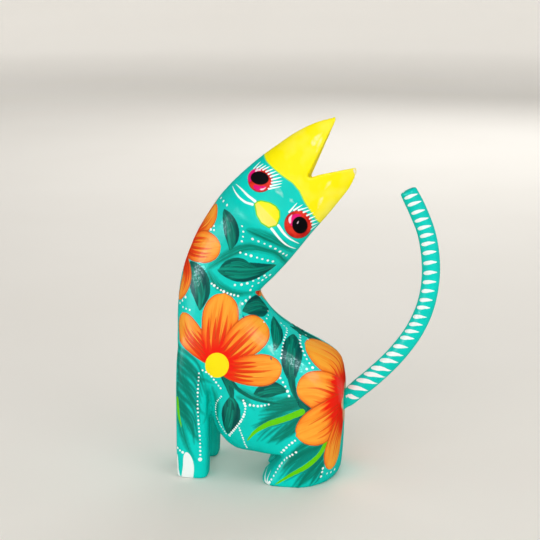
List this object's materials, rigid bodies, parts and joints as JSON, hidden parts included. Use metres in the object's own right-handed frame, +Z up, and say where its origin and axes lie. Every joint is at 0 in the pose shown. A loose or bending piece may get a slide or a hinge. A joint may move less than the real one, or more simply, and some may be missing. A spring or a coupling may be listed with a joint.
{
  "type": "carved wooden cat figurine",
  "caption": "Hand-carved wooden cat that sits upright with its head leaning back and a bent stick for a tail, painted all over with flowers and leaves.",
  "frame": {"origin": "middle of the figure's bounding box at the height of the surface it stands on", "axes": "+Z up, +X from the chest towards the rump and tail, +Y away from the face, which looks along -Y"},
  "size_m": [0.1098, 0.0488, 0.1534],
  "materials": {
    "painted_wood": "gloss varnish over paint",
    "painted_stick": "gloss varnish over paint"
  },
  "bodies": {
    "root": {"cat": "painted_wood", "tail": "painted_stick"}
  },
  "joints": []
}
